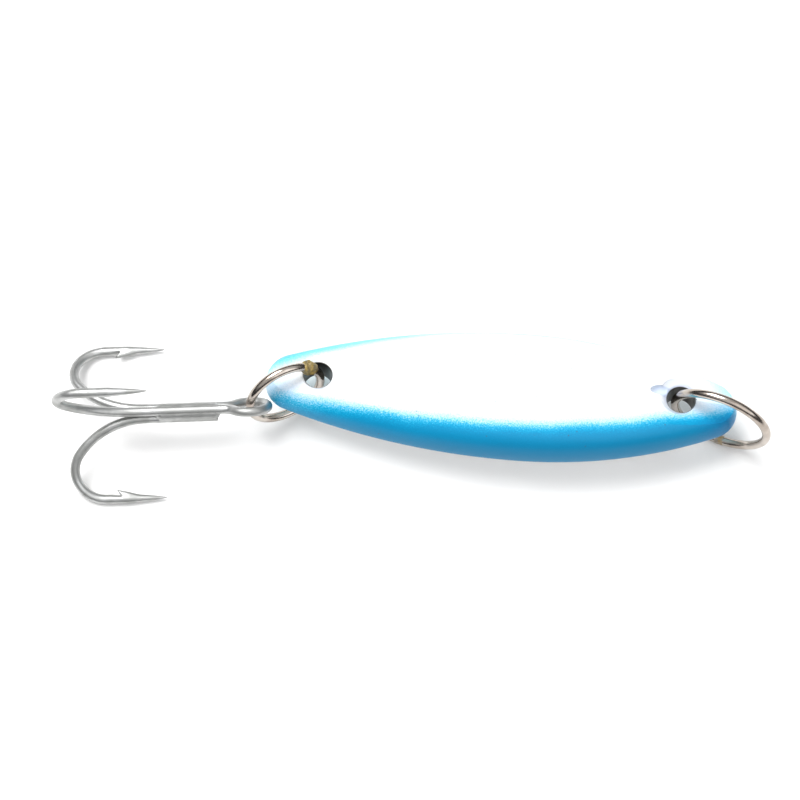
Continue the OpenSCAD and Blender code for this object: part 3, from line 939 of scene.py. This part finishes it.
@dataclass
class TrebleHook:
    """The treble: a double hook bent with its eye from one wire, and a single hook.

    Lengths are in millimetres, in the hook's own frame: the origin in the middle of the
    eye, the shanks towards -X, and a hook's plane turned from +Z towards +Y.
    """

    wire: float = 1.17
    length: float = 26.0
    gape: float = 10.2
    shoulder: float = 10.3
    throat: float = 3.7
    eye_inside: float = 3.3
    point: float = 7.4
    taper: float = 4.6
    barb_back: float = 5.4
    barb_run: float = 2.3
    barb_heel: float = 1.4
    barb_lift: float = 0.62
    barb_sweep: float = 0.75
    barb_hollow: float = 0.2
    single_start: float = 3.9
    single_short: float = 0.8
    leg_short: float = 0.7
    shank_gap: float = 0.05
    braze_length: float = 8.0
    neck: float = 2.0
    turn: float = radians(6.0)
    slip: float = -0.15

    def shank_off(self) -> float:
        """Returns the distance of each shank from the hook's axis."""
        return (self.wire + self.shank_gap) / sqrt(3)

    def bend_angle(self) -> float:
        """Returns how far the long bend turns before the short one."""
        return acos((self.shoulder + self.throat - self.gape) / (self.shoulder - self.throat))

    def eye_radius(self) -> float:
        """Returns the radius of the middle of the eye's wire."""
        return (self.eye_inside + self.wire) / 2

    def shank_end(self) -> float:
        """Returns the distance of the top hook's long bend from the eye's middle."""
        run = (self.shoulder - self.throat) * sin(self.bend_angle())
        return self.length - self.eye_radius() - self.wire - self.throat - run

    def place(self) -> Matrix:
        """Returns the hook's own frame in the row frame, in millimetres."""
        spot = next(joint["pos_m"] for joint in frame["joints"] if joint["name"] == "treble_swing")
        eye = Vector(spot) / MM + Vector((self.slip, 0.0, 0.0))
        return Matrix.Translation(eye) @ Matrix.Rotation(self.turn, 4, "Z")

    def outward(self, angle: float) -> Vector:
        """Returns the direction of a hook's plane from the axis."""
        return Vector((0.0, sin(angle), cos(angle)))

    def point_radius(self, share: float) -> float:
        """Returns the wire's radius at a share of the tip's taper, from the tip."""
        return self.wire / 2 * (0.05 + 0.95 * share ** 0.72)

    def draw_point(self, shank: float, angle: float) -> WireBender:
        """Draws a hook from the tip of its point, round both bends, to its shank.

        Args:
            shank: Distance of the long bend from the eye's middle.
            angle: Angle of the hook's plane.

        Returns:
            The bender, at the start of the straight shank, heading for the eye.
        """
        out = self.outward(angle)
        far = shank + (self.shoulder - self.throat) * sin(self.bend_angle())
        tip = Vector((self.point - far, 0.0, 0.0)) + out * (self.shank_off() + self.gape)
        back = Vector((-1.0, 0.0, 0.0))
        bender = WireBender(tip, back, self.point_radius(0.0))
        bender.run(self.taper, 26, self.point_radius)
        bender.run(self.point - self.taper, 18)
        axis = back.cross(-out)
        bender.bend(self.throat, pi - self.bend_angle(), axis, 30)
        return bender.bend(self.shoulder, self.bend_angle(), axis, 26)

    def raise_barb(self, bm: bmesh.types.BMesh, shank: float, angle: float) -> None:
        """Cuts a barb into the point: a sliver that is raised towards the shank."""
        out = self.outward(angle)
        far = shank + (self.shoulder - self.throat) * sin(self.bend_angle())
        tip_x = self.point - far
        core = self.shank_off() + self.gape
        side = out.cross(Vector((1.0, 0.0, 0.0)))
        for vert in bm.verts:
            behind = tip_x - vert.co.x
            inward = core - vert.co.dot(out)
            past = not 0.0 < behind < self.barb_back + self.barb_heel
            if past or inward <= 0.0 or inward > self.wire:
                continue
            spread = vert.co.dot(side) / (self.wire / 2)
            crest = max(0.0, 1.0 - (spread / 0.75) ** 2) * min(1.0, inward / (0.35 * self.wire))
            rise = max(0.0, min(1.0, (behind - self.barb_back + self.barb_run) / self.barb_run))
            if behind <= self.barb_back:
                vert.co -= out * (self.barb_lift * crest * rise ** 1.6)
                vert.co.x -= self.barb_sweep * crest * rise ** 3
            else:
                hollow = 1.0 - (behind - self.barb_back) / self.barb_heel
                vert.co += out * (self.barb_hollow * crest * hollow)

    def build_double(self, metal: bpy.types.Material) -> bpy.types.Object:
        """Bends the double hook: one wire with a point at each end and the eye between.

        Args:
            metal: Its finish.

        Returns:
            The piece that stands for the node double_hook.
        """
        off, ring = self.shank_off() * sin(radians(60.0)), self.eye_radius()
        flare = acos((off + self.neck) / (self.neck + ring))
        straight = (self.neck + ring) * sin(flare)
        shank = self.shank_end()
        bender = self.draw_point(shank, 0.0)
        bender.run(shank - straight, 12)
        across = (self.outward(radians(120.0)) - self.outward(0.0)).normalized()
        axis = bender.heading.cross(across)
        bender.bend(self.neck, flare, -axis, 10)
        bender.bend(ring, pi + 2 * flare, axis, 56)
        bender.bend(self.neck, flare, -axis, 10)
        leg = shank - self.leg_short
        bender.run(leg - straight, 12)
        out = self.outward(radians(120.0))
        axis = bender.heading.cross(out)
        bender.bend(self.shoulder, self.bend_angle(), axis, 26)
        bender.bend(self.throat, pi - self.bend_angle(), axis, 30)
        bender.run(self.point - self.taper, 18)
        bender.run(self.taper, 26, lambda share: self.point_radius(1.0 - share))
        bm = bender.close()
        self.raise_barb(bm, shank, 0.0)
        self.raise_barb(bm, leg, radians(120.0))
        piece = save_piece(bm, "double_hook_wire", self.place(), "treble", ("double_hook",))
        piece.data.materials.append(metal)
        return piece

    def build_single(self, metal: bpy.types.Material) -> bpy.types.Object:
        """Bends the single hook, whose shank ends in a square cut.

        Args:
            metal: Its finish.

        Returns:
            The piece that stands for the node single_hook.
        """
        angle = radians(240.0)
        shank = self.shank_end() - self.single_short
        bender = self.draw_point(shank, angle)
        bender.run(shank - self.single_start - 0.1, 12)
        bender.run(0.06, 1, lambda share: self.wire / 2 - 0.03)
        bender.run(0.04, 1, lambda share: self.wire / 2 - 0.11)
        bm = bender.close()
        self.raise_barb(bm, shank, angle)
        piece = save_piece(bm, "single_hook_wire", self.place(), "treble", ("single_hook",))
        piece.data.materials.append(metal)
        return piece

    def build_braze(self, solder: bpy.types.Material) -> bpy.types.Object:
        """Lays the braze in the valleys between the shanks.

        Args:
            solder: Its finish.

        Returns:
            The piece that stands for the node hook_braze.
        """
        fillet = self.shank_off() + self.wire * 0.36
        start = Vector((-self.single_start + 0.35, 0.0, 0.0))
        bender = WireBender(start, Vector((-1.0, 0.0, 0.0)), 0.35, 48)
        bender.run(0.7, 8, lambda share: 0.35 + (fillet - 0.35) * sin(share * pi / 2))
        bender.run(self.braze_length - 1.6, 60)
        bender.run(0.9, 8, lambda share: fillet - 0.5 * share ** 2)
        bm = bender.close()
        for vert in bm.verts:
            out = Vector((0.0, vert.co.y, vert.co.z))
            broad = noise.noise(vert.co * Vector((0.7, 1.6, 1.6))) * 0.05
            lump = broad + noise.noise(vert.co * 3.0) * 0.012
            vert.co += out * lump
        piece = save_piece(bm, "shank_braze", self.place(), "treble", ("hook_braze",))
        piece.data.materials.append(solder)
        return piece


# ---------------------------------------------------------------- floor, light, camera

@dataclass
class Studio:
    """A white sweep under a large soft light, seen from steeply above.

    Attributes:
        aim: The point that the camera looks at, in the row frame, in millimetres.
        distance: Distance of the camera from it, in millimetres.
        view: Width of the field of view at the aim, in millimetres.
        azimuth: Direction from which the camera looks, in radians.
        elevation: Height angle of the camera, in radians.
    """

    aim: Vector = field(default_factory=lambda: Vector((-2.0, 2.6, 5.0)))
    distance: float = 300.0
    view: float = 98.24
    azimuth: float = radians(4.0)
    elevation: float = radians(76.0)

    def floor(self) -> None:
        """Lays the white floor."""
        bm = bmesh.new()
        bmesh.ops.create_grid(bm, x_segments=2, y_segments=2, size=6.0)
        ground = link_mesh(bm, "floor")
        material = bpy.data.materials.new("white_card")
        material.use_nodes = True
        shader = material.node_tree.nodes["Principled BSDF"]
        shader.inputs["Base Color"].default_value = (0.93, 0.925, 0.92, 1.0)
        shader.inputs["Roughness"].default_value = 0.9
        shader.inputs["Specular IOR Level"].default_value = 0.1
        ground.data.materials.append(material)

    def lamp(self, name: str, spot: Vector, size: float, power: float, aim: Vector) -> None:
        """Hangs one square soft light, in metres and watts."""
        light = bpy.data.lights.new(name, "AREA")
        light.shape = "SQUARE"
        light.size = size
        light.energy = power
        lamp = bpy.data.objects.new(name, light)
        lamp.location = spot
        lamp.rotation_euler = (aim - spot).to_track_quat("-Z", "Y").to_euler()
        bpy.context.scene.collection.objects.link(lamp)

    def sky(self) -> None:
        """Sets the room's light: bright above, darker walls."""
        world = bpy.data.worlds.new("studio_room")
        bpy.context.scene.world = world
        world.use_nodes = True
        sheet = NodeSheet(world.node_tree)
        background = world.node_tree.nodes["Background"]
        way = sheet.add("TexCoord").outputs["Generated"]
        axes = sheet.add("SeparateXYZ")
        sheet.tree.links.new(way, axes.inputs[0])
        colour = sheet.ramp(sheet.remap(axes.outputs["Z"], -0.1, 1.0),
                            ((0.0, (0.03, 0.03, 0.033)), (0.42, (0.07, 0.07, 0.075)),
                             (0.70, (0.68, 0.69, 0.70)), (1.0, (0.80, 0.80, 0.80))))
        sheet.tree.links.new(colour, background.inputs["Color"])
        background.inputs["Strength"].default_value = 1.0

    def camera(self) -> None:
        """Sets up the camera."""
        level = cos(self.elevation)
        sight = Vector((-sin(self.azimuth) * level, cos(self.azimuth) * level, -sin(self.elevation)))
        data = bpy.data.cameras.new("camera")
        data.sensor_width = 36.0
        data.lens = data.sensor_width * self.distance / self.view
        data.clip_start = 0.01
        camera = bpy.data.objects.new("camera", data)
        camera.location = (self.aim - sight * self.distance) * MM
        camera.rotation_euler = sight.to_track_quat("-Z", "Y").to_euler()
        bpy.context.scene.collection.objects.link(camera)
        bpy.context.scene.camera = camera

    def build(self) -> None:
        """Builds the whole studio."""
        bpy.context.scene.view_settings.view_transform = "Standard"
        self.camera()
        self.floor()
        self.sky()
        middle = Vector((0.0, 0.0, 0.0))
        self.lamp("key_light", Vector((-0.26, 0.24, 0.62)), 0.42, 5.6, middle)
        self.lamp("fill_light", Vector((0.45, -0.35, 0.75)), 0.9, 2.6, middle)


def main() -> None:
    """Builds the lure and the studio, and reports each piece."""
    logging.basicConfig(level=logging.INFO, format="%(name)s: %(message)s")
    Studio().build()
    grain = grain_group()
    spoon = SpoonBody()
    holes = (spoon.hole_spot(Along.HOOK).x, spoon.hole_spot(Along.TIE).x)
    paint = PaintFinish("airbrushed_enamel", spoon.underside() * MM, spoon.roll, spoon.width / 2,
                        spoon.side_arc(Along.HOOK), spoon.side_arc(Along.TIE),
                        holes, spoon.bore / 2).build(grain)
    nickel = WireFinish("nickelled_wire", tone(198, 189, 180), tone(166, 155, 145),
                        0.14, 0.22, 0.00001).build(grain)
    tin = WireFinish("tinned_wire", tone(190, 191, 190), tone(166, 167, 165),
                     0.4, 0.5, 0.00002).build(grain)
    brass = BrazeFinish("ring_braze", tone(176, 152, 92), tone(128, 118, 92), 0.6).build(grain)
    thin_brass = BrazeFinish("thin_ring_braze", tone(178, 152, 104), tone(170, 160, 148),
                             0.4).build(grain)
    solder = WireFinish("hook_solder", tone(190, 191, 190), tone(168, 169, 167),
                        0.42, 0.52, 0.00002).build(grain)
    spoon.build(paint)
    rings = (
        WireRing("line_tie_ring", "line_tie", "tie_ring_swing", ("tie_ring", "tie_ring_braze"),
                 5.9, radians(-20.0), radians(8.5), pi, radians(-80.0), 1.3, 0.05),
        WireRing("hook_side_ring", "hook_link", "hook_ring_swing", ("hook_ring", "hook_ring_braze"),
                 4.7, radians(31.0), radians(17.5), 0.0, radians(37.0), 2.2, 0.32))
    for ring, bead in zip(rings, (thin_brass, brass)):
        ring.build_wire(nickel)
        ring.build_bead(bead)
    treble = TrebleHook()
    treble.build_double(tin)
    treble.build_single(tin)
    treble.build_braze(solder)


if __name__ == "__main__":
    main()
